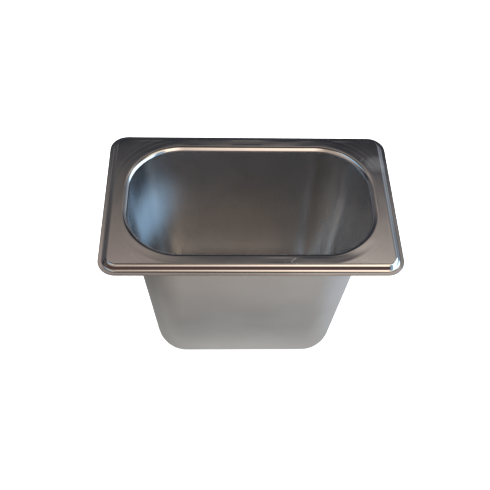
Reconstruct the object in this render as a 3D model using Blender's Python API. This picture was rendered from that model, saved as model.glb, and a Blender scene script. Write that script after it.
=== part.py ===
"""Ninth-size (GN 1/9) food pan, deep form: one deep-drawn stainless pressing.

The pan is a single sheet-metal shell of uniform thickness.  From the outside
edge inwards its section is: a half-round sheared edge, a narrow horizontal
lip, a hollow bend up into a sloping riser, a rounded shoulder, the flat flange,
a rounded roll into the bowl, a drafted wall, a large bottom radius and a flat
base.  Length along X, width along Y, +Z up, origin at the centre of the
underside of the base.  Sizes are in millimetres; the mesh is in metres.
"""

import math
from collections import namedtuple

import bmesh
import bpy

MM = 0.001

# Plan outline: a rounded rectangle, as half sizes and corner radius.
Outline = namedtuple("Outline", "half_x half_y corner_radius")

# One point on the section of the visible (upper and inner) face.  The inset is
# measured inwards from the outline and z from the flange top.  The unit normal
# points out of the metal, normal_in counted towards the middle of the pan.
Station = namedtuple("Station", "outline inset z normal_in normal_up")

# ------------------------------------------------------------ overall sizes
LENGTH = 176.0          # outside length of the rim, along X
WIDTH = 108.0           # outside width of the rim, along Y
HEIGHT = 150.0          # flange top above the underside of the base
SHEET = 0.7             # sheet thickness

# ------------------------------------------------------------ rim
RIM = Outline(half_x=LENGTH / 2, half_y=WIDTH / 2, corner_radius=10.8)
LIP_DROP = 4.2          # flange top down to the underside of the lip
LIP_Z = SHEET - LIP_DROP        # top face of the lip
EDGE_RADIUS = SHEET / 2         # half-round sheared edge
SHOULDER_INSET = 5.8    # outer edge in to where the flange goes flat
SHOULDER_RADIUS = 1.8   # visible face of the rounded shoulder
HOLLOW_RADIUS = 1.5     # visible face of the bend between riser and lip
RISER_ANGLE = math.radians(65.0)        # riser slope from horizontal

# ------------------------------------------------------------ bowl
# The mouth is the line where the flange starts to roll into the bowl.
MOUTH = Outline(half_x=76.4, half_y=43.1, corner_radius=34.6)
ROLL_RADIUS = 3.1       # visible face of the roll from flange to wall
DRAFT_DEG = 4.95        # wall draft on every side
WALL_ANGLE = math.radians(90.0 - DRAFT_DEG)     # wall slope from horizontal
DRAFT_RATIO = math.tan(math.radians(DRAFT_DEG)) # inset gained per unit of depth
BASE_RADIUS = 19.8      # outside radius between wall and base
FLOOR_Z = SHEET - HEIGHT        # inside face of the base

# ------------------------------------------------------------ mesh resolution
CORNER_STEPS = 12       # facets round each corner, seen from above
ROLL_STEPS = 5
BASE_STEPS = 9
BEND_STEPS = 4          # facets in the shoulder and in the hollow bend
EDGE_RINGS = 3          # rings between the two faces round the sheared edge
WALL_STEPS = 3
SMOOTH_ANGLE = math.radians(35.0)       # edges that turn further stay sharp


def clear_scene():
    for item in list(bpy.data.objects):
        bpy.data.objects.remove(item, do_unlink=True)


# ------------------------------------------------------------ section
def arc_angles(end, steps):
    """Slopes along an arc, from horizontal (0) to the end slope."""
    return [end * k / steps for k in range(steps + 1)]


def convex_arc(outline, start_inset, radius, angle, side):
    """Point on an arc falling from the flange: side 1 inwards, -1 outwards."""
    return Station(outline, start_inset + side * radius * math.sin(angle),
                   -radius * (1 - math.cos(angle)),
                   side * math.sin(angle), math.cos(angle))


def concave_arc(outline, low_inset, low_z, radius, angle, side):
    """Point on an arc rising from its low point; side is the way it faces."""
    return Station(outline, low_inset - side * radius * math.sin(angle),
                   low_z + radius * (1 - math.cos(angle)),
                   side * math.sin(angle), math.cos(angle))


def rim_section():
    """Stations from the sheared edge, over the lip and riser, to the flange."""
    angles = arc_angles(RISER_ANGLE, BEND_STEPS)
    shoulder = [convex_arc(RIM, SHOULDER_INSET, SHOULDER_RADIUS, angle, -1)
                for angle in angles]
    # The straight riser fixes where the hollow bend meets the lip.
    riser_top = shoulder[-1]
    riser_foot_z = LIP_Z + HOLLOW_RADIUS * (1 - math.cos(RISER_ANGLE))
    riser_run = (riser_top.z - riser_foot_z) / math.tan(RISER_ANGLE)
    hollow_inset = riser_top.inset - riser_run - HOLLOW_RADIUS * math.sin(RISER_ANGLE)
    hollow = [concave_arc(RIM, hollow_inset, LIP_Z, HOLLOW_RADIUS, angle, -1)
              for angle in angles]
    lip_edge = Station(RIM, EDGE_RADIUS, LIP_Z, 0.0, 1.0)
    return [lip_edge] + hollow + shoulder[::-1]


def bowl_section():
    """Stations from the mouth line, down the wall, to the edge of the floor."""
    roll = [convex_arc(MOUTH, 0.0, ROLL_RADIUS, angle, 1)
            for angle in arc_angles(WALL_ANGLE, ROLL_STEPS)]
    wall_top = roll[-1]
    floor_radius = BASE_RADIUS - SHEET
    wall_foot_z = FLOOR_Z + floor_radius * (1 - math.cos(WALL_ANGLE))

    def wall_inset(z):
        return wall_top.inset + (wall_top.z - z) * DRAFT_RATIO

    # The arcs at either end supply the wall's first and last stations.
    wall = []
    for k in range(1, WALL_STEPS):
        z = wall_top.z + (wall_foot_z - wall_top.z) * k / WALL_STEPS
        wall.append(Station(MOUTH, wall_inset(z), z,
                            math.sin(WALL_ANGLE), math.cos(WALL_ANGLE)))

    floor_inset = wall_inset(wall_foot_z) + floor_radius * math.sin(WALL_ANGLE)
    bottom = [concave_arc(MOUTH, floor_inset, FLOOR_Z, floor_radius, angle, 1)
              for angle in reversed(arc_angles(WALL_ANGLE, BASE_STEPS))]
    return roll + wall + bottom


# ------------------------------------------------------------ shell
def ring(outline, inset, z):
    """Points of the inset outline, anticlockwise from above, in metres."""
    centre_x = outline.half_x - outline.corner_radius
    centre_y = outline.half_y - outline.corner_radius
    radius = outline.corner_radius - inset
    points = []
    for side_x, side_y, start_deg in ((1, 1, 0), (-1, 1, 90), (-1, -1, 180), (1, -1, 270)):
        for k in range(CORNER_STEPS + 1):
            angle = math.radians(start_deg + 90.0 * k / CORNER_STEPS)
            points.append(((side_x * centre_x + radius * math.cos(angle)) * MM,
                           (side_y * centre_y + radius * math.sin(angle)) * MM,
                           (HEIGHT + z) * MM))
    return points


def shell_rings():
    """Rings from the inside floor, up and over the rim, down to the underside."""
    stations = rim_section() + bowl_section()
    visible = [ring(s.outline, s.inset, s.z) for s in reversed(stations)]
    edge = []
    for k in range(1, EDGE_RINGS + 1):
        angle = math.pi * k / (EDGE_RINGS + 1)
        edge.append(ring(RIM, EDGE_RADIUS * (1 - math.sin(angle)),
                         LIP_Z - EDGE_RADIUS * (1 - math.cos(angle))))
    hidden = [ring(s.outline, s.inset - s.normal_in * SHEET, s.z - s.normal_up * SHEET)
              for s in stations]
    return visible + edge + hidden


def make_shell(name):
    """Join the rings with quads and close the floor and underside."""
    bm = bmesh.new()
    rows = [[bm.verts.new(point) for point in points] for points in shell_rings()]
    count = len(rows[0])
    bm.faces.new(rows[0])
    for row, next_row in zip(rows, rows[1:]):
        for k in range(count):
            n = (k + 1) % count
            bm.faces.new((row[n], row[k], next_row[k], next_row[n]))
    bm.faces.new(rows[-1][::-1])
    bmesh.ops.recalc_face_normals(bm, faces=bm.faces)

    mesh = bpy.data.meshes.new(name)
    bm.to_mesh(mesh)
    bm.free()
    mesh.shade_smooth()
    mesh.set_sharp_from_angle(angle=SMOOTH_ANGLE)
    shell = bpy.data.objects.new(name, mesh)
    bpy.context.scene.collection.objects.link(shell)
    return shell


def drawn_stainless():
    steel = bpy.data.materials.new("drawn_stainless")
    steel.use_nodes = True
    inputs = steel.node_tree.nodes["Principled BSDF"].inputs
    inputs["Base Color"].default_value = (0.58, 0.56, 0.54, 1.0)
    inputs["Roughness"].default_value = 0.28
    inputs["Metallic"].default_value = 1.0
    return steel


clear_scene()
pan = make_shell("pan_shell")
pan.data.materials.append(drawn_stainless())
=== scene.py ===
"""A drawn stainless steel pan: a deep rectangular bowl under a flat flange.

The long sides run along X, the near side faces -Y and the flange is uppermost.
The shell is modelled in mm with z = 0 on the flange, then placed in metres.
"""

import math
from collections import namedtuple
from types import SimpleNamespace

import bpy
from mathutils import Matrix, Vector, noise


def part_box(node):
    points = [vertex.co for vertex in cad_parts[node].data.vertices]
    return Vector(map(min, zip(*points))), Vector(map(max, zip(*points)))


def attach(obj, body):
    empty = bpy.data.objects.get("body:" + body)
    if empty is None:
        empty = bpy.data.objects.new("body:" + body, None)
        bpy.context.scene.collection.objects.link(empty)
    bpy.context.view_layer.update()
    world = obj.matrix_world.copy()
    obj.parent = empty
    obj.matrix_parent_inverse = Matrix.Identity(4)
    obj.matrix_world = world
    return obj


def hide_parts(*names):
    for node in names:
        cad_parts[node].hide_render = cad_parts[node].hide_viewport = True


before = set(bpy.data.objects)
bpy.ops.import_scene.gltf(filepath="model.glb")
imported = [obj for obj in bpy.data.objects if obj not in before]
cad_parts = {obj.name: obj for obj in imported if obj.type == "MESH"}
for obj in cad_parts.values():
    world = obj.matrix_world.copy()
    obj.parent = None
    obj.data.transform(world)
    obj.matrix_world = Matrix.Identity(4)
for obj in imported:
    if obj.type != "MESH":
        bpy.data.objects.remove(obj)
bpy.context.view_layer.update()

# ------------------------------------------------------------------ sizes, mm
MM = 0.001
LOW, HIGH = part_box("pan_shell")
TOP = HIGH[2]                       # flange height in metres
HALF_X = (HIGH[0] - LOW[0]) / 2 / MM
HALF_Y = (HIGH[1] - LOW[1]) / 2 / MM
HEIGHT = (HIGH[2] - LOW[2]) / MM
BASE_Z = LOW[2] / MM
SHEET = 0.7                         # sheet thickness

# rim: flat lip, hollow, riser and shoulder, from the outside in
RIM_CORNER_R = 10.8
LIP_DROP = 4.2                      # flange top down to the lip's underside
LIP_Z = -LIP_DROP + SHEET
HOLLOW_R = 1.5
RISER_DEG = 65.0
SHOULDER_INSET = 5.8
SHOULDER_R = 1.8

# bowl: mouth, rolled edge, drafted wall and rounded base
MOUTH_HALF_X = HALF_X - 11.6
MOUTH_HALF_Y = HALF_Y - 10.9
MOUTH_CORNER_R = 34.6
ROLL_R = 3.1
DRAFT_DEG = 4.95
BASE_R = 19.8

# segments round the outline
CORNER_STEPS = 40
LONG_STEPS = 96
SHORT_STEPS = 24

# segments along the section
LIP_PARTS = (0.0, 0.07, 0.4, 0.75)  # fractions of the lip's width
HOLLOW_STEPS = 8
RISER_STEPS = 3
SHOULDER_STEPS = 10
FLANGE_STEPS = 20
ROLL_STEPS = 14
WALL_STEPS = 26
WALL_CROWDING = 1.6                 # above 1 crowds stations towards the roll
BASE_STEPS = 16
EDGE_STEPS = 6
EDGE_UV_STEP = 0.15

# corners of an outline: sign of x, sign of y, start angle in degrees
CORNERS = ((1, 1, 0), (-1, 1, 90), (-1, -1, 180), (1, -1, 270))

# shallow draw rings at the flange corners: distance from mouth, depth, width
DRAW_RINGS = ((3.4, 0.010, 0.9), (6.6, 0.013, 1.2), (9.8, 0.007, 1.1))

# A point of the section on the visible face. family and inset pick the
# outline, tilt leans the face's normal inwards from +Z (radians).
Station = namedtuple("Station", "family inset z tilt polish")
# One loop of vertices with its attributes; along is the distance down the section.
Ring = namedtuple("Ring", "points shine along inside cut")


# ------------------------------------------------------------------ section
def linear(low, high, value):
    return min(max((value - low) / (high - low), 0.0), 1.0)


def smooth(low, high, value):
    t = linear(low, high, value)
    return t * t * (3 - 2 * t)


def rim_stations():
    """Lip, hollow, riser and shoulder, from the outside in."""
    rise = math.radians(RISER_DEG)
    shoulder = []
    for k in range(SHOULDER_STEPS + 1):
        angle = rise * k / SHOULDER_STEPS
        shoulder.append(Station("rim", SHOULDER_INSET - SHOULDER_R * math.sin(angle),
                                -SHOULDER_R * (1 - math.cos(angle)), -angle, 1.0))
    riser_top = shoulder[-1]
    hollow_top = LIP_Z + HOLLOW_R * (1 - math.cos(rise))
    run = (riser_top.z - hollow_top) / math.tan(rise)
    hollow_inset = riser_top.inset - run - HOLLOW_R * math.sin(rise)
    lip_inset = SHEET / 2

    stations = [Station("rim", lip_inset + (hollow_inset - lip_inset) * t, LIP_Z, 0.0, 1.0)
                for t in LIP_PARTS]
    for k in range(HOLLOW_STEPS):
        angle = rise * k / HOLLOW_STEPS
        stations.append(Station("rim", hollow_inset + HOLLOW_R * math.sin(angle),
                                LIP_Z + HOLLOW_R * (1 - math.cos(angle)), -angle, 1.0))
    for k in range(RISER_STEPS):
        t = k / RISER_STEPS
        stations.append(Station("rim", hollow_inset + HOLLOW_R * math.sin(rise) + run * t,
                                hollow_top + (riser_top.z - hollow_top) * t, -rise, 1.0))
    return stations + shoulder[::-1]


def flange_stations():
    return [Station("flange", k / FLANGE_STEPS, 0.0, 0.0, 1.0) for k in range(1, FLANGE_STEPS)]


def bowl_stations():
    """Rolled edge, wall and base radius, from the mouth down."""
    wall = math.radians(90.0 - DRAFT_DEG)
    slope = math.tan(math.radians(DRAFT_DEG))
    stations = []
    for k in range(ROLL_STEPS + 1):
        angle = wall * k / ROLL_STEPS
        depth = ROLL_R * (1 - math.cos(angle))
        stations.append(Station("bowl", ROLL_R * math.sin(angle), -depth, angle,
                                1.0 - smooth(0.35, 1.0, depth / ROLL_R)))
    wall_top = stations[-1]
    inner_r = BASE_R - SHEET
    floor_z = -HEIGHT + SHEET
    arc_z = floor_z + inner_r * (1 - math.cos(wall))
    for k in range(1, WALL_STEPS):
        t = (k / WALL_STEPS) ** WALL_CROWDING
        z = wall_top.z + (arc_z - wall_top.z) * t
        stations.append(Station("bowl", wall_top.inset + (wall_top.z - z) * slope, z, wall, 0.0))
    centre_inset = wall_top.inset + (wall_top.z - arc_z) * slope + inner_r * math.sin(wall)
    for k in range(BASE_STEPS + 1):
        angle = wall * (1 - k / BASE_STEPS)
        stations.append(Station("bowl", centre_inset - inner_r * math.sin(angle),
                                floor_z + inner_r * (1 - math.cos(angle)), angle, 0.0))
    return stations


# ------------------------------------------------------------------ outlines
def outline(half_x, half_y, corner_r, inset=0.0):
    """Rounded rectangle, anticlockwise from above, as (x, y, normal x, normal y)."""
    centre_x, centre_y, radius = half_x - corner_r, half_y - corner_r, corner_r - inset

    def on_corner(sign_x, sign_y, degrees):
        angle = math.radians(degrees)
        return (sign_x * centre_x + radius * math.cos(angle),
                sign_y * centre_y + radius * math.sin(angle), math.cos(angle), math.sin(angle))

    points = []
    for corner, (sign_x, sign_y, start) in enumerate(CORNERS):
        for k in range(CORNER_STEPS + 1):
            points.append(on_corner(sign_x, sign_y, start + 90.0 * k / CORNER_STEPS))
        begin = points[-1]
        end = on_corner(*CORNERS[(corner + 1) % 4])
        steps = LONG_STEPS if corner % 2 == 0 else SHORT_STEPS
        for k in range(1, steps):
            t = k / steps
            points.append((begin[0] + (end[0] - begin[0]) * t,
                           begin[1] + (end[1] - begin[1]) * t, end[2], end[3]))
    return points


def rim_outline(inset):
    return outline(HALF_X, HALF_Y, RIM_CORNER_R, inset)


def bowl_outline(inset):
    return outline(MOUTH_HALF_X, MOUTH_HALF_Y, MOUTH_CORNER_R, inset)


def flange_outline(part):
    """Blend from the shoulder (part 0) to the mouth (part 1)."""
    mixed = []
    for outer, inner in zip(rim_outline(SHOULDER_INSET), bowl_outline(0.0)):
        x, y, normal_x, normal_y = (a + (b - a) * part for a, b in zip(outer, inner))
        normal = Vector((normal_x, normal_y))
        normal.normalize()
        mixed.append((x, y, normal.x, normal.y))
    return mixed


OUTLINES = {"rim": rim_outline, "flange": flange_outline, "bowl": bowl_outline}


# ------------------------------------------------------------------ unevenness
def mouth_distance(x, y):
    """Distance outwards from the mouth line, negative inside it."""
    out_x = abs(x) - (MOUTH_HALF_X - MOUTH_CORNER_R)
    out_y = abs(y) - (MOUTH_HALF_Y - MOUTH_CORNER_R)
    return (math.hypot(max(out_x, 0.0), max(out_y, 0.0)) + min(max(out_x, out_y), 0.0)
            - MOUTH_CORNER_R)


def sag(x, y):
    """How far the long sides dip towards the mouth at mid-span."""
    lean = 1.0 - linear(0.0, 5.6, mouth_distance(x, y))
    if y < 0:
        depth = 0.34
        along = smooth(-88.0, -14.0, x) * (1.0 - smooth(52.0, 84.0, x))
    else:
        depth = 0.07
        along = math.exp(-((x - 6.0) / 34.0) ** 4)
    return depth * along * smooth(30.0, 43.0, abs(y)) * lean


def dent_noise(x, y, size, layer):
    return noise.noise(Vector((x / size, y / size, layer)))


def box_step(offset, half, soft):
    return 1.0 - smooth(half - soft, half + soft, abs(offset))


def ripple(x, y):
    """Flange height: draw rings, slow and fine dents, and a sunk pad at the far side."""
    distance = mouth_distance(x, y)
    outer = max(abs(x) - HALF_X, abs(y) - HALF_Y) + SHOULDER_INSET
    fade = smooth(0.0, 1.6, -outer) * smooth(0.2, 1.6, distance)
    corner = smooth(44.0, 58.0, abs(x)) * smooth(12.0, 26.0, abs(y))
    rings = 0.0
    for at, depth, width in DRAW_RINGS:
        rings -= depth * math.exp(-((distance - at) / width) ** 2)
    slow = dent_noise(x, y, size=17.0, layer=3.1) * 0.030
    fine = dent_noise(x, y, size=6.5, layer=8.7) * 0.006
    pad = (0.022 * box_step(x + 1.0, half=9.4, soft=0.9)
           * box_step(y - 46.0, half=1.6, soft=0.7))
    return fade * (rings * corner + slow + fine) - pad


def forming(x, y, z):
    """Offset of the bowl along its normal: wavy walls and a far-side crease."""
    depth = -z
    fade = smooth(4.0, 22.0, depth) * (1.0 - smooth(HEIGHT - 26.0, HEIGHT - 14.0, depth))
    wave = noise.noise(Vector((x / 38.0, y / 38.0, z / 52.0))) * 0.10 * fade
    crease = 0.0
    if y > 20:
        across = math.exp(-((x - 2.0) / 13.0) ** 4)
        crease = 0.11 * across * math.exp(-((depth - 6.2) / 1.7) ** 2)
    return wave + crease


# ------------------------------------------------------------------ shell
def face_points(station, points):
    """Points of the visible face and of the underside, one sheet apart."""
    normal_in, normal_up = math.sin(station.tilt), math.cos(station.tilt)
    upper, lower = [], []
    for x, y, out_x, out_y in points:
        lift = -sag(x, y) + (ripple(x, y) if station.family == "flange" else 0.0)
        bulge = forming(x, y, station.z) if station.family == "bowl" else 0.0
        normal = (-out_x * normal_in, -out_y * normal_in, normal_up)
        place = [at + n * bulge for at, n in zip((x, y, station.z + lift), normal)]
        upper.append(tuple(place))
        lower.append(tuple(at - n * SHEET for at, n in zip(place, normal)))
    return upper, lower


def shell_rings():
    """All rings: up the inside from the floor, round the lip's edge, back underneath."""
    top, under = [], []
    along, last = 0.0, None
    for station in rim_stations() + flange_stations() + bowl_stations():
        points = OUTLINES[station.family](station.inset)
        here = (points[0][0], points[0][1], station.z)
        if last is not None:
            along += math.dist(here, last)
        last = here
        upper, lower = face_points(station, points)
        top.append(Ring(upper, station.polish, along, 1.0, 0.0))
        under.append(Ring(lower, station.polish * 0.4, along, 0.0, 0.0))
    edge = []
    for k in range(1, EDGE_STEPS):
        angle = math.pi * k / EDGE_STEPS
        z = LIP_Z - SHEET / 2 * (1 - math.cos(angle))
        points = [(x, y, z) for x, y, _, _ in rim_outline(SHEET / 2 * (1 - math.sin(angle)))]
        edge.append(Ring(points, 0.0, -EDGE_UV_STEP * k, 1.0 - k / EDGE_STEPS, 1.0))
    return top[::-1] + edge + under


def perimeter_marks():
    """Distance round the mouth line at each point, closing back on the first."""
    mouth = bowl_outline(0.0)
    around = [0.0]
    for here, after in zip(mouth, mouth[1:] + mouth[:1]):
        around.append(around[-1] + math.hypot(after[0] - here[0], after[1] - here[1]))
    return around


def build_shell():
    rings = shell_rings()
    around = perimeter_marks()
    count = len(rings[0].points)
    verts = [(x * MM, y * MM, (z + HEIGHT + BASE_Z) * MM)
             for ring in rings for x, y, z in ring.points]
    faces, uvs = [], []

    def cap(corners):
        faces.append(tuple(corners))
        uvs.append([verts[k][:2] for k in corners])

    cap(range(count))
    for r in range(len(rings) - 1):
        a, b = r * count, (r + 1) * count
        along_a, along_b = rings[r].along * MM, rings[r + 1].along * MM
        for k in range(count):
            n = (k + 1) % count
            faces.append((a + n, a + k, b + k, b + n))
            u0, u1 = around[k] * MM, around[k + 1] * MM
            uvs.append([(u1, along_a), (u0, along_a), (u0, along_b), (u1, along_b)])
    cap(range(len(verts) - 1, len(verts) - count - 1, -1))

    mesh = bpy.data.meshes.new("pan_pressing")
    mesh.from_pydata(verts, [], faces)
    layer = mesh.uv_layers.new(name="grain")
    layer.data.foreach_set("uv", [c for face in uvs for uv in face for c in uv])
    for name in ("shine", "inside", "cut"):
        attribute = mesh.attributes.new(name, "FLOAT", "POINT")
        attribute.data.foreach_set(
            "value", [getattr(ring, name) for ring in rings for _ in ring.points])
    mesh.validate()
    mesh.shade_smooth()
    return link_object("pan_pressing", mesh)


def link_object(name, data):
    made = bpy.data.objects.new(name, data)
    bpy.context.scene.collection.objects.link(made)
    return made


# ------------------------------------------------------------------ nodes
class Net:
    """Small helper that writes shader arithmetic as expressions."""

    def __init__(self, tree):
        self.tree = tree

    def node(self, kind, **props):
        made = self.tree.nodes.new(kind)
        for key, value in props.items():
            setattr(made, key, value)
        return made

    def put(self, socket, value):
        """Link a socket or set a value; a tuple is an RGB colour."""
        if isinstance(value, bpy.types.NodeSocket):
            self.tree.links.new(value, socket)
        elif isinstance(value, tuple):
            socket.default_value = (*value, 1.0)
        else:
            socket.default_value = value

    def math(self, op, *args, clamp=False):
        n = self.node("ShaderNodeMath", operation=op, use_clamp=clamp)
        for k, value in enumerate(args):
            self.put(n.inputs[k], value)
        return n.outputs[0]

    def add(self, a, b): return self.math("ADD", a, b)
    def sub(self, a, b): return self.math("SUBTRACT", a, b)
    def mul(self, a, b): return self.math("MULTIPLY", a, b)

    def length(self, a, b):
        return self.math("SQRT", self.add(self.mul(a, a), self.mul(b, b)))

    def vary(self, base, texture, amount):
        """Base plus a texture centred on zero."""
        return self.add(base, self.mul(self.sub(texture, 0.5), amount))

    def step(self, value, off, on):
        """0 at off, 1 at on, smooth between; off may exceed on."""
        n = self.node("ShaderNodeMapRange", interpolation_type="SMOOTHSTEP")
        self.put(n.inputs["Value"], value)
        n.inputs["From Min"].default_value = min(off, on)
        n.inputs["From Max"].default_value = max(off, on)
        if off > on:
            n.inputs["To Min"].default_value = 1.0
            n.inputs["To Max"].default_value = 0.0
        return n.outputs["Result"]

    def span(self, value, start, full, fade, end):
        """0 outside start..end, 1 within full..fade."""
        return self.mul(self.step(value, start, full), self.step(value, end, fade))

    def mix(self, factor, a, b, blend="MIX"):
        n = self.node("ShaderNodeMix", data_type="RGBA", blend_type=blend)
        self.put(n.inputs["Factor"], factor)
        self.put(n.inputs[6], a)
        self.put(n.inputs[7], b)
        return n.outputs[2]

    def multiply(self, colour, gain):
        return self.mix(1.0, colour, gain, "MULTIPLY")

    def tinted(self, mask, colour, gain):
        """Colour multiplied by gain where the mask is 1."""
        return self.mix(mask, colour, self.multiply(colour, gain))

    def mix_shader(self, factor, a, b):
        n = self.node("ShaderNodeMixShader")
        for socket, value in zip(n.inputs, (factor, a, b)):
            self.put(socket, value)
        return n.outputs[0]

    def ramp(self, value, stops):
        """Colour ramp; stops are (position, colour) in rising order."""
        n = self.node("ShaderNodeValToRGB")
        items = n.color_ramp.elements
        while len(items) < len(stops):
            items.new(0.5)
        # every position is set before any colour
        for item, (position, _) in zip(items, stops):
            item.position = position
        for item, (_, colour) in zip(items, stops):
            item.color = (*colour, 1.0)
        self.put(n.inputs[0], value)
        return n.outputs[0]

    def split(self, vector):
        n = self.node("ShaderNodeSeparateXYZ")
        self.put(n.inputs[0], vector)
        return n.outputs

    def scaled(self, vector, scale, shift=0.0):
        n = self.node("ShaderNodeMapping")
        self.put(n.inputs["Vector"], vector)
        n.inputs["Scale"].default_value = scale
        n.inputs["Location"].default_value = (shift, shift, shift)
        return n.outputs[0]

    def noise(self, vector, scale, detail, rough):
        n = self.node("ShaderNodeTexNoise")
        self.put(n.inputs["Vector"], vector)
        n.inputs["Scale"].default_value = scale
        n.inputs["Detail"].default_value = detail
        n.inputs["Roughness"].default_value = rough
        return n.outputs["Fac"]

    def attribute(self, name):
        return self.node("ShaderNodeAttribute", attribute_name=name).outputs["Fac"]


def new_material(name):
    """Material with its node helper and its Principled shader."""
    mat = bpy.data.materials.new(name)
    mat.use_nodes = True
    return mat, Net(mat.node_tree), mat.node_tree.nodes["Principled BSDF"]


# ------------------------------------------------------------------ steel
STEEL = (0.66, 0.645, 0.622)
STEEL_WALL = (0.680, 0.671, 0.662)
CUT_EDGE = tuple(c * 0.5 for c in STEEL)
POLISHED = 0.10                     # roughness of flange and roll
SATIN_OUT = 0.34                    # roughness of the outside and of the bowl
SATIN_IN = 0.25
HAZE_PATCH = 0.10                   # diffuse share on the left end wall, and all over
HAZE_ALL = 0.015
HAZE_AT = (-0.064, 0.026, TOP - 0.045)

# short scratches on the flange, mm: x, y of both ends, half width, strength
SCRATCHES = (
    (24.9, -44.4, 23.3, -45.5, 0.16, 0.24), (22.1, -46.0, 22.9, -47.2, 0.15, 0.22),
    (25.0, -48.0, 25.7, -49.2, 0.14, 0.20), (17.6, -46.9, 19.2, -47.4, 0.12, 0.08),
    (-69.0, -41.2, -66.4, -43.4, 0.12, 0.08), (70.2, 30.5, 72.6, 33.4, 0.14, 0.10))
SMEAR_X, SMEAR_Y = 78.5, 28.0       # dull smear at the flange's right end, mm


def steel_fields(net):
    """Coordinates, attributes and textures that the steel's parts share."""
    coords = net.node("ShaderNodeTexCoord").outputs["Object"]
    shine = net.attribute("shine")
    return SimpleNamespace(
        coords=coords, shine=shine, inside=net.attribute("inside"),
        satin=lambda: net.sub(1.0, shine),
        cloud=net.noise(coords, scale=34.0, detail=4.0, rough=0.55),
        smudge=net.noise(net.scaled(coords, (1.0, 1.0, 1.0), shift=3.7),
                         scale=95.0, detail=5.0, rough=0.62))


def steel_roughness(net, skin):
    """Bright flange and roll, satin bowl and outside."""
    bright = net.vary(POLISHED, skin.smudge, 0.07)
    dull = net.add(SATIN_OUT, net.mul(skin.inside, SATIN_IN - SATIN_OUT))
    satin = net.vary(dull, skin.cloud, 0.05)
    rough = net.add(net.mul(skin.shine, bright), net.mul(skin.satin(), satin))
    speck = net.noise(skin.coords, scale=900.0, detail=2.0, rough=0.5)
    return net.vary(rough, speck, 0.02)


def steel_colour(net, skin):
    """Steel tint, region by region, with painted shade, a painted reflection and a painted
    highlight; places are in metres.
    """
    x, y, z = net.split(skin.coords)
    tint = net.mix(skin.shine, STEEL_WALL, STEEL)
    mottle = net.mix(net.step(skin.cloud, off=0.35, on=0.7),
                     (0.97, 0.965, 0.96), (1.03, 1.03, 1.03))
    tint = net.multiply(tint, mottle)
    # painted shade: the right end of the bowl is tinted a shade darker
    end = net.mul(net.mul(net.step(x, off=0.050, on=0.066), skin.inside), skin.satin())
    tint = net.tinted(end, tint, (0.85, 0.875, 0.91))
    # painted shade, too, at the top of the left end, just under the roll
    top = net.mul(net.step(x, off=-0.060, on=-0.068),
                  net.step(z, off=TOP - 0.044, on=TOP - 0.014))
    top = net.mul(top, net.mul(skin.inside, skin.satin()))
    tint = net.tinted(top, tint, (0.38, 0.42, 0.47))
    # painted reflection of cool light: higher up the walls are tinted a touch cooler
    cool = net.mul(net.step(z, off=TOP - 0.060, on=TOP - 0.020),
                   net.mul(skin.inside, skin.satin()))
    tint = net.tinted(cool, tint, (0.985, 1.0, 1.045))
    # the narrow lip: a painted highlight at the left end, painted shade at the right front
    lip = net.mul(skin.shine, net.step(z, off=TOP - 0.0028, on=TOP - 0.0033))
    painted_highlight_end = net.mul(lip, net.step(x, off=-0.0845, on=-0.0858))
    tint = net.tinted(painted_highlight_end, tint, (1.28, 1.27, 1.26))
    painted_shade_end = net.mul(net.mul(lip, net.step(x, off=0.0845, on=0.0858)),
                       net.step(y, off=-0.004, on=-0.030))
    tint = net.tinted(painted_shade_end, tint, (0.66, 0.69, 0.71))
    # the cut edge of the lip is duller than the sheet's faces
    return net.mix(net.attribute("cut"), tint, CUT_EDGE)


def steel_grain(net, skin):
    """Bump of fine lines that run down the walls, and round the flange."""
    uv = net.node("ShaderNodeUVMap", uv_map="grain").outputs[0]
    wall = net.noise(net.scaled(uv, (9000.0, 160.0, 1.0)), scale=1.0, detail=3.0, rough=0.6)
    flange = net.noise(net.scaled(uv, (120.0, 9000.0, 1.0)), scale=1.0, detail=3.0, rough=0.6)
    grain = net.add(net.mul(skin.shine, net.mul(flange, 0.25)), net.mul(skin.satin(), wall))
    bump = net.node("ShaderNodeBump")
    bump.inputs["Strength"].default_value = 0.08
    bump.inputs["Distance"].default_value = 0.00004
    net.put(bump.inputs["Height"], grain)
    return bump.outputs[0]


def wall_haze(net, skin):
    """Diffuse share of the bowl's walls, most on the left end wall."""
    away = net.node("ShaderNodeVectorMath", operation="DISTANCE")
    net.put(away.inputs[0], skin.coords)
    away.inputs[1].default_value = HAZE_AT
    patch = net.step(net.vary(away.outputs["Value"], skin.cloud, 0.012), off=0.036, on=0.006)
    return net.mul(net.mul(skin.satin(), skin.inside),
                   net.add(net.mul(patch, HAZE_PATCH), HAZE_ALL))


def flange_marks(net, skin):
    """Diffuse share of the scratches and the smear on the flange."""
    flat = net.split(skin.coords)
    x, y = (net.mul(flat[k], 1 / MM) for k in (0, 1))
    marks = 0.0
    for start_x, start_y, end_x, end_y, half, strength in SCRATCHES:
        dx, dy = end_x - start_x, end_y - start_y
        length_squared = dx * dx + dy * dy
        from_x, from_y = net.sub(x, start_x), net.sub(y, start_y)
        along = net.math("ADD", net.mul(from_x, dx / length_squared),
                         net.mul(from_y, dy / length_squared), clamp=True)
        # the original offsets are taken afresh for the nearest point
        off_x = net.sub(net.sub(x, start_x), net.mul(along, dx))
        off_y = net.sub(net.sub(y, start_y), net.mul(along, dy))
        line = net.step(net.length(off_x, off_y), off=2 * half, on=0.5 * half)
        marks = net.add(marks, net.mul(line, strength))
    from_smear = net.length(net.sub(x, SMEAR_X), net.sub(y, SMEAR_Y))
    smear = net.mul(net.step(net.vary(from_smear, skin.smudge, 14.0), off=9.0, on=2.0), 0.055)
    return net.mul(skin.shine, net.add(marks, smear))


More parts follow.
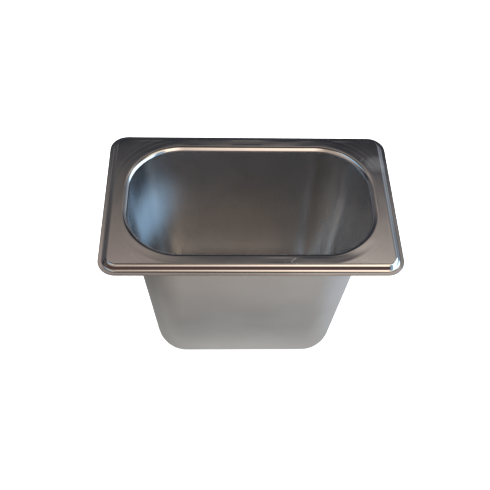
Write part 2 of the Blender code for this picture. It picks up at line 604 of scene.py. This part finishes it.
def steel_material():
    mat, net, shader = new_material("drawn_stainless_sheet")
    skin = steel_fields(net)
    shader.inputs["Metallic"].default_value = 1.0
    net.put(shader.inputs["Roughness"], steel_roughness(net, skin))
    net.put(shader.inputs["Base Color"], steel_colour(net, skin))
    net.put(shader.inputs["Normal"], steel_grain(net, skin))
    haze = net.node("ShaderNodeBsdfDiffuse")
    net.put(haze.inputs["Color"], STEEL)
    weight = net.add(wall_haze(net, skin), flange_marks(net, skin))
    net.put(net.tree.nodes["Material Output"].inputs["Surface"],
            net.mix_shader(weight, shader.outputs[0], haze.outputs[0]))
    return mat


# ------------------------------------------------------------------ world
def seen(*display):
    """Radiance that a clean steel mirror shows as these 8-bit display values."""
    def linear_light(c):
        c /= 255.0
        return c / 12.92 if c <= 0.04045 else ((c + 0.055) / 1.055) ** 2.4
    return tuple(linear_light(c) / s for c, s in zip(display, STEEL))


# Room tones by elevation: degrees, then red, green, blue as seen in the steel.
BELOW_FAR = (
    (-90, 158, 156, 152), (-82, 158, 156, 152), (-74, 126, 124, 122),
    (-64, 150, 146, 143), (-50, 150, 146, 142), (-34, 84, 80, 78))
ABOVE_FAR = ((58.5, 74, 68, 65), (64, 58, 54, 53), (90, 66, 61, 58))
FAR_LEFT = BELOW_FAR + (
    (0, 48, 49, 53), (36, 44, 46, 52), (45.2, 40, 42, 49), (46.2, 58, 58, 61),
    (47.2, 76, 74, 74), (49, 90, 86, 84), (51, 112, 104, 99), (54, 136, 125, 120),
    (55.5, 152, 140, 134)) + ABOVE_FAR
FAR_RIGHT = BELOW_FAR + (
    (0, 46, 47, 51), (36, 40, 42, 48), (45.0, 37, 39, 45), (46.0, 62, 61, 65),
    (47.0, 90, 87, 88), (48, 93, 89, 88), (49.8, 120, 112, 109), (51.2, 146, 137, 132),
    (53, 166, 156, 150), (55.5, 178, 168, 160), (58.5, 76, 70, 67)) + ABOVE_FAR[1:]
NEAR_SIDE = (
    (-90, 158, 156, 152), (-82, 158, 156, 152), (-74, 130, 127, 124), (-64, 156, 152, 148),
    (-50, 158, 153, 149), (-40, 70, 56, 54), (-8, 74, 58, 57), (2, 84, 68, 66),
    (8, 112, 96, 90), (19, 236, 214, 198), (50, 238, 217, 200), (60, 246, 224, 205),
    (72, 246, 224, 205), (80, 104, 93, 85), (90, 60, 56, 54))

# Soft patches of the room, painted in turn: heading (degrees clockwise from
# +Y), span either side of it, span of elevation, tone. A span is start, full,
# fade, end in degrees.
DIM_PATCHES = (
    # grey wall left of the far side, and the part below it
    (-38, (-22, -14, 14, 22), (24, 32, 46, 54), seen(84, 83, 84)),
    (-52, (-18, -8, 10, 18), (2, 10, 22, 30), seen(84, 82, 83)),
    # dim below the horizon at the left
    (-96, (-46, -30, 30, 46), (-78, -64, -22, -10), seen(84, 80, 77)),
    # pale right part of the far side
    (36, (-14, -6, 12, 20), (2, 12, 44, 50), seen(105, 108, 116)))
WINDOW_EDGE = (90, (-50, -38, 54, 62), (-38, -28, 46, 58))
BRIGHT_PATCHES = (
    # window at the right
    (86, (-30, -20, 34, 46), (-27, -18, 44, 54), (1.8, 2.4, 3.0)),
    # above the window towards the viewer, then the warm wall over it
    (112, (-22, -12, 16, 28), (42, 50, 62, 70), (1.15, 1.18, 1.15)),
    (88, (-40, -20, 30, 50), (58, 68, 74, 82), (1.1, 0.9, 0.66)))
CEILING = (-90, (-36, -20, 20, 34), (42, 52, 74, 84))


def world_light():
    """Soft room: pale behind the viewer, a window to the right, dim at the far side."""
    world = bpy.data.worlds.new("studio")
    bpy.context.scene.world = world
    world.use_nodes = True
    net = Net(world.node_tree)
    x, y, z = net.split(net.node("ShaderNodeTexCoord").outputs["Generated"])
    elevation = net.mul(net.math("ARCSINE", z), 180 / math.pi)
    height = net.mul(net.add(elevation, 90.0), 1 / 180.0)

    def azimuth(heading):
        """Degrees clockwise from a heading, itself clockwise from +Y."""
        angle = math.radians(heading)
        ahead_x, ahead_y = math.sin(angle), math.cos(angle)
        forward = net.add(net.mul(x, ahead_x), net.mul(y, ahead_y))
        side = net.add(net.mul(x, ahead_y), net.mul(y, -ahead_x))
        return net.mul(net.math("ARCTAN2", side, forward), 180 / math.pi)

    def tones(table):
        return net.ramp(height, [((deg + 90.0) / 180.0, seen(*rgb)) for deg, *rgb in table])

    def paint(colour, heading, across, upward, tone):
        mask = net.mul(net.span(azimuth(heading), *across), net.span(elevation, *upward))
        return net.mix(mask, colour, tone)

    far_left, far_right, near = tones(FAR_LEFT), tones(FAR_RIGHT), tones(NEAR_SIDE)
    # the warm wall behind the viewer dims toward the left
    fade = net.math("MULTIPLY_ADD", azimuth(180), -0.036, 0.94)
    fade = net.math("MINIMUM", net.math("MAXIMUM", fade, 0.45), 1.45)
    band = net.span(elevation, start=0, full=12, fade=72, end=84)
    fade = net.add(1.0, net.mul(band, net.sub(fade, 1.0)))
    near = net.multiply(near, fade)
    far = net.mix(net.step(azimuth(6), off=-14, on=12), far_left, far_right)
    facing = net.mul(net.step(azimuth(180), off=112, on=58),
                     net.step(azimuth(180), off=-85, on=-50))
    colour = net.mix(facing, far, near)

    for patch in DIM_PATCHES:
        colour = paint(colour, *patch)
    edge = net.mix(net.step(azimuth(90), off=-28, on=-38),
                   seen(134, 156, 176), seen(134, 140, 148))
    colour = paint(colour, *WINDOW_EDGE, edge)
    for patch in BRIGHT_PATCHES:
        colour = paint(colour, *patch)
    # a paler, bluish stretch of ceiling over the left end
    high = net.mix(net.step(elevation, off=56, on=70), (0.38, 0.68, 1.0), (0.72, 0.80, 0.86))
    high = net.mix(net.step(elevation, off=68, on=76), high, (1.0, 1.12, 1.22))
    colour = paint(colour, *CEILING, high)

    # the camera itself sees plain white
    camera_ray = net.node("ShaderNodeLightPath").outputs["Is Camera Ray"]
    back = net.tree.nodes["Background"]
    net.put(back.inputs["Color"], net.mix(camera_ray, colour, (1.0, 1.0, 1.0)))
    back.inputs["Strength"].default_value = 1.0


# ------------------------------------------------------------------ floor
FLOOR_SIZE = 12.0                   # metres
FLOOR_CELLS = 8
FLOOR_GAP = 0.0002                  # below the pan, metres
TABLE_REACH = 180.0                 # the tone ramps run from y = -180 mm to 0

# Table tones that the steel mirrors, painted as a glow with a painted shadow band near y = -60:
# y in mm, then the colour.
TABLE_LEFT = (
    (-165, (0.50, 0.48, 0.47)), (-130, (0.47, 0.43, 0.40)), (-104, (0.41, 0.37, 0.33)),
    (-84, (0.34, 0.31, 0.28)), (-68, (0.26, 0.25, 0.23)), (-54, (0.27, 0.26, 0.25)),
    (-40, (0.33, 0.32, 0.31)), (-20, (0.29, 0.29, 0.28)))
TABLE_MIDDLE = (
    (-165, (0.52, 0.51, 0.50)), (-130, (0.54, 0.51, 0.48)), (-104, (0.56, 0.51, 0.46)),
    (-84, (0.49, 0.46, 0.43)), (-68, (0.27, 0.28, 0.29)), (-54, (0.29, 0.29, 0.30)),
    (-40, (0.60, 0.59, 0.57)), (-20, (0.49, 0.49, 0.48)))
TABLE_RIGHT = (
    (-165, (0.52, 0.51, 0.51)), (-130, (0.55, 0.53, 0.51)), (-104, (0.56, 0.54, 0.51)),
    (-84, (0.53, 0.52, 0.50)), (-68, (0.43, 0.43, 0.44)), (-54, (0.39, 0.40, 0.40)),
    (-40, (0.48, 0.48, 0.48)), (-20, (0.48, 0.48, 0.48)))


def floor_material():
    """White paper; glossy rays see table tones nearby, a painted reflection glowing on the
    floor, and the room further off.
    """
    mat, net, shader = new_material("floor_paper")
    for name, value in (("Base Color", (0.9, 0.9, 0.9)), ("Emission Color", (1.0, 1.0, 1.0)),
                        ("Emission Strength", 0.6), ("Roughness", 1.0),
                        ("Specular IOR Level", 0.0)):
        net.put(shader.inputs[name], value)
    mat.cycles.emission_sampling = "NONE"

    place = net.split(net.node("ShaderNodeNewGeometry").outputs["Position"])
    x, y = (net.mul(place[k], 1 / MM) for k in (0, 1))
    along = net.math("MULTIPLY_ADD", y, 1 / TABLE_REACH, 1.0)
    left, middle, right = (
        net.ramp(along, [((TABLE_REACH + at) / TABLE_REACH, tone) for at, tone in table])
        for table in (TABLE_LEFT, TABLE_MIDDLE, TABLE_RIGHT))
    table = net.mix(net.step(x, off=0, on=90), middle, right)
    table = net.mix(net.step(x, off=0, on=-120), table, left)
    # painted reflection: a bluish lit stretch at the right and painted shadow at the far left
    table = net.mix(net.step(x, off=60, on=125), table, (0.60, 0.62, 0.66))
    table = net.mix(net.step(x, off=-100, on=-150), table, (0.13, 0.12, 0.115))
    near = net.node("ShaderNodeEmission")
    net.put(near.inputs["Color"], table)
    far = net.node("ShaderNodeBsdfTransparent")
    mirrored = net.mix_shader(net.step(net.length(x, y), off=165, on=235),
                              near.outputs[0], far.outputs[0])
    glossy_ray = net.node("ShaderNodeLightPath").outputs["Is Glossy Ray"]
    net.put(net.tree.nodes["Material Output"].inputs["Surface"],
            net.mix_shader(glossy_ray, shader.outputs[0], mirrored))
    return mat


def floor_stage():
    row = FLOOR_CELLS + 1
    verts = [(FLOOR_SIZE * (i / FLOOR_CELLS - 0.5), FLOOR_SIZE * (j / FLOOR_CELLS - 0.5),
              LOW[2] - FLOOR_GAP) for j in range(row) for i in range(row)]
    faces = [(j * row + i, j * row + i + 1, (j + 1) * row + i + 1, (j + 1) * row + i)
             for j in range(FLOOR_CELLS) for i in range(FLOOR_CELLS)]
    mesh = bpy.data.meshes.new("floor")
    mesh.from_pydata(verts, [], faces)
    floor = link_object("floor", mesh)
    mesh.materials.append(floor_material())


# ------------------------------------------------------------------ lamps
def add_lamp(name, kind, location, energy):
    """Lamp hidden from the camera and from reflections."""
    lamp = link_object(name, bpy.data.lights.new(name, kind))
    lamp.data.energy = energy
    lamp.location = location
    lamp.visible_glossy = False
    lamp.visible_camera = False
    return lamp


def overhead_lamp():
    """Large softbox over the table."""
    lamp = add_lamp("overhead", "AREA", location=(0.0, 0.0, 3.0), energy=210.0)
    lamp.data.shape = "RECTANGLE"
    lamp.data.size = 5.0
    lamp.data.size_y = 5.0


def side_lamp():
    """Small cool spot, 1 m off to the right, that falls on the left end wall."""
    target = Vector((-63.0, 27.0, TOP / MM - 46.0)) * MM
    azimuth, elevation = math.radians(92.0), math.radians(34.0)
    heading = Vector((math.sin(azimuth) * math.cos(elevation),
                      math.cos(azimuth) * math.cos(elevation), math.sin(elevation)))
    lamp = add_lamp("side_lamp", "SPOT", location=target + heading, energy=230.0)
    lamp.rotation_euler = heading.to_track_quat("Z", "Y").to_euler()
    lamp.data.spot_size = math.radians(2 * 2.4)
    lamp.data.spot_blend = 1.0
    lamp.data.shadow_soft_size = 0.02
    lamp.data.color = (0.29, 0.61, 1.0)


# ------------------------------------------------------------------ camera
CAMERA_TURN, CAMERA_ELEVATION, CAMERA_ROLL = -3.7126, 53.585, 3.093     # degrees
# lens from the flange centre along the camera's right, up and back axes, mm
CAMERA_OFFSET = (-3.2247, -28.3722, 451.3384)


def camera():
    turn, elevation, roll = (math.radians(deg) for deg in
                             (CAMERA_TURN, CAMERA_ELEVATION, CAMERA_ROLL))
    back = Vector((math.sin(turn) * math.cos(elevation),
                   -math.cos(turn) * math.cos(elevation), math.sin(elevation)))
    right = Vector((math.cos(turn), math.sin(turn), 0.0))
    up = back.cross(right)
    c, s = math.cos(roll), math.sin(roll)
    right, up = c * right + s * up, c * up - s * right
    data = bpy.data.cameras.new("camera")
    data.sensor_width = 36.0
    data.lens = 55.012702
    data.clip_start = 0.01
    data.clip_end = 60.0
    cam = link_object("camera", data)
    offset = Vector(CAMERA_OFFSET) * MM
    place = Vector((0.0, 0.0, TOP)) + right * offset.x + up * offset.y + back * offset.z
    basis = Matrix((right, up, back)).transposed()
    cam.matrix_world = Matrix.Translation(place) @ basis.to_4x4()
    bpy.context.scene.camera = cam


# ------------------------------------------------------------------ build
pan = build_shell()
steel = steel_material()
pan.data.materials.append(steel)
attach(pan, "root")
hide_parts("pan_shell")
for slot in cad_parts["pan_shell"].material_slots:
    slot.material = steel

world_light()
floor_stage()
overhead_lamp()
side_lamp()
camera()
bpy.context.scene.view_settings.view_transform = "Standard"
bpy.context.scene.cycles.max_bounces = 16
bpy.context.scene.cycles.glossy_bounces = 12
